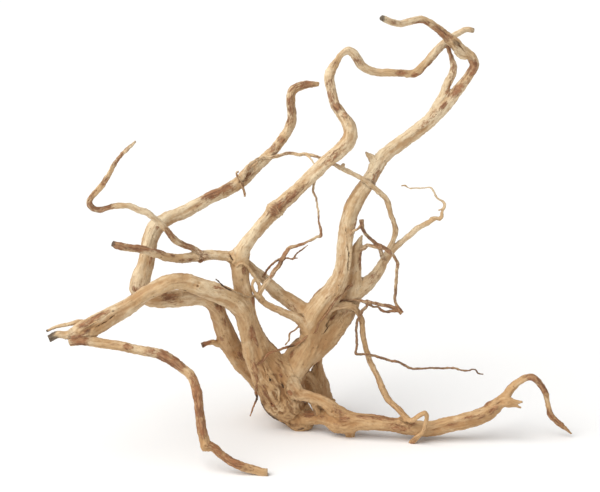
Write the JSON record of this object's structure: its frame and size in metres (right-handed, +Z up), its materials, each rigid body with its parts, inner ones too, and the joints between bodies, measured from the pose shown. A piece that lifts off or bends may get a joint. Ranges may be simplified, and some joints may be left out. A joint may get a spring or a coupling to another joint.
{
  "type": "spiderwood root",
  "caption": "Branching spiderwood root of pale knotty wood: stout flat-sawn base, thick bent limbs, thin winding twigs and root ends that it stands on.",
  "frame": {"origin": "on the flat-sawn foot under the main stem, at the level that the root stands on", "axes": "+X to the right along the long low root, +Y to the rear, +Z up"},
  "size_m": [0.5078, 0.2058, 0.4123],
  "materials": {
    "wood": "dry, matt, pale tan wood with brown bark remnants"
  },
  "bodies": {
    "root": {"spiderwood_root": "wood"}
  },
  "joints": []
}
